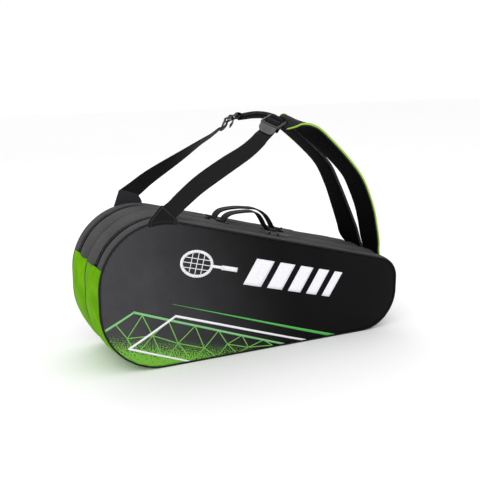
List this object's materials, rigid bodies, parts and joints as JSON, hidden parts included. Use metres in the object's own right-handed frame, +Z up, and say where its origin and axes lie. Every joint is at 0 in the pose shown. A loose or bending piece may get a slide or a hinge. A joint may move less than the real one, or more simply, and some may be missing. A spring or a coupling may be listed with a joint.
{
  "type": "racket tournament bag",
  "caption": "Rigid-walled two-compartment racket bag with two opening lids, grab handles and two padded shoulder straps.",
  "frame": {"origin": "middle of the flat base that the bag stands on, on the middle seam", "axes": "+X from the round head end to the narrow handle end, the front panel faces -Y, +Z up"},
  "size_m": [0.7525, 0.2284, 0.5302],
  "materials": {
    "body_fabric": "coated printed weave",
    "gusset_fabric": "heathered woven polyester",
    "lime_fabric": "coated woven polyester",
    "base_fabric": "coarse coated weave",
    "lining": "smooth lining over foam",
    "piping": "bound edge",
    "zip_tape": "woven tape with moulded teeth",
    "webbing": "ribbed woven webbing",
    "pad_cover": "woven cover",
    "pad_mesh": "open air mesh",
    "lime_trim": "woven binding",
    "buckle": "moulded acetal",
    "slider": "lacquered die casting",
    "steel_puller": "bright lacquered metal"
  },
  "bodies": {
    "shell": {"centre_divider": "lining", "inner_pocket": "pad_mesh", "base_gusset": "base_fabric", "front_gusset": "gusset_fabric", "front_green_wrap": "lime_fabric", "front_lower_panel": "body_fabric", "front_lower_foam": "lining", "front_lower_piping": "piping", "front_zip_inner": "zip_tape", "front_zip_ends": "piping", "front_pad_anchor": "webbing", "front_handle_patches": "webbing", "rear_gusset": "gusset_fabric", "rear_green_wrap": "lime_fabric", "rear_lower_panel": "body_fabric", "rear_lower_foam": "lining", "rear_lower_piping": "piping", "rear_zip_inner": "zip_tape", "rear_zip_ends": "piping", "rear_pad_anchor": "webbing", "rear_handle_patches": "webbing"},
    "front_lid": {"front_lid_panel": "body_fabric", "front_lid_foam": "lining", "front_lid_gusset": "gusset_fabric", "front_lid_piping": "piping", "front_zip_outer": "zip_tape", "front_strap_tab": "webbing"},
    "rear_lid": {"rear_lid_panel": "body_fabric", "rear_lid_foam": "lining", "rear_lid_gusset": "gusset_fabric", "rear_lid_piping": "piping", "rear_zip_outer": "zip_tape", "rear_strap_tab": "gusset_fabric"},
    "front_slider_head": {"front_slider_head": "slider"},
    "front_puller_head": {"front_puller_head": "slider"},
    "front_slider_handle": {"front_slider_handle": "slider"},
    "front_puller_handle": {"front_puller_handle": "slider"},
    "rear_slider_head": {"rear_slider_head": "slider"},
    "rear_puller_head": {"rear_puller_head": "slider"},
    "rear_slider_handle": {"rear_slider_handle": "slider"},
    "rear_puller_handle": {"rear_puller_handle": "steel_puller"},
    "front_handle": {"front_handle": "webbing"},
    "rear_handle": {"rear_handle": "webbing"},
    "front_strap": {"front_webbing": "webbing", "front_pad": "pad_cover", "front_pad_mesh": "pad_mesh", "front_pad_trim": "lime_trim"},
    "front_buckle": {"front_buckle": "buckle"},
    "rear_strap": {"rear_webbing": "webbing", "rear_pad": "pad_cover", "rear_pad_mesh": "pad_mesh", "rear_pad_trim": "lime_trim"},
    "rear_buckle": {"rear_buckle": "buckle"}
  },
  "joints": [
    {"name": "front_lid_hinge", "type": "hinge", "parent": "shell", "child": "front_lid", "pos_m": [0, -0.105, 0.174], "axis": [0.9866, 0, -0.1631], "range_deg": [0, 45]},
    {"name": "rear_lid_hinge", "type": "hinge", "parent": "shell", "child": "rear_lid", "pos_m": [0, 0.105, 0.174], "axis": [-0.9866, 0, 0.1631], "range_deg": [0, 45]},
    {"name": "front_slider_head_slide", "type": "slide", "parent": "shell", "child": "front_slider_head", "axis": [0.9659, 0, -0.2589], "range_m": [-0.228, 0]},
    {"name": "front_slider_handle_slide", "type": "slide", "parent": "shell", "child": "front_slider_handle", "axis": [0.9659, 0, -0.2589], "range_m": [0, 0.231]},
    {"name": "front_puller_head_hinge", "type": "hinge", "parent": "front_slider_head", "child": "front_puller_head", "pos_m": [0.04145, -0.065, 0.26394], "axis": [0, 1, 0], "range_deg": [0, 150]},
    {"name": "front_puller_handle_hinge", "type": "hinge", "parent": "front_slider_handle", "child": "front_puller_handle", "pos_m": [0.06345, -0.065, 0.25805], "axis": [0, -1, 0], "range_deg": [0, 150]},
    {"name": "front_handle_hinge", "type": "hinge", "parent": "shell", "child": "front_handle", "pos_m": [0.01252, -0.0335, 0.26797], "axis": [0.9659, 0, -0.2589], "range_deg": [0, 70]},
    {"name": "rear_slider_head_slide", "type": "slide", "parent": "shell", "child": "rear_slider_head", "axis": [0.9659, 0, -0.2589], "range_m": [-0.311, 0]},
    {"name": "rear_slider_handle_slide", "type": "slide", "parent": "shell", "child": "rear_slider_handle", "axis": [0.9659, 0, -0.2589], "range_m": [0, 0.148]},
    {"name": "rear_puller_head_hinge", "type": "hinge", "parent": "rear_slider_head", "child": "rear_puller_head", "pos_m": [0.12145, 0.065, 0.2425], "axis": [0, 1, 0], "range_deg": [0, 150]},
    {"name": "rear_puller_handle_hinge", "type": "hinge", "parent": "rear_slider_handle", "child": "rear_puller_handle", "pos_m": [0.14345, 0.065, 0.2366], "axis": [0, -1, 0], "range_deg": [0, 150]},
    {"name": "rear_handle_hinge", "type": "hinge", "parent": "shell", "child": "rear_handle", "pos_m": [0.01252, 0.0335, 0.26797], "axis": [-0.9659, 0, 0.2589], "range_deg": [0, 70]},
    {"name": "front_strap_swing", "type": "hinge", "parent": "front_lid", "child": "front_strap", "pos_m": [0.068, -0.0835, 0.2665], "axis": [0.9625, 0.0734, -0.2611], "range_deg": [0, 80]},
    {"name": "rear_strap_swing", "type": "hinge", "parent": "rear_lid", "child": "rear_strap", "pos_m": [0.0445, 0.08675, 0.275], "axis": [-0.9664, 0.0665, 0.2483], "range_deg": [0, 80]},
    {"name": "front_buckle_tilt", "type": "hinge", "parent": "front_strap", "child": "front_buckle", "pos_m": [0.05196, -0.07617, 0.51858], "axis": [-0.3912, 0.8787, 0.2736], "range_deg": [0, 40]},
    {"name": "rear_buckle_tilt", "type": "hinge", "parent": "rear_strap", "child": "rear_buckle", "pos_m": [0.02896, 0.08317, 0.51258], "axis": [0.3912, 0.8787, -0.2736], "range_deg": [0, 40]}
  ]
}
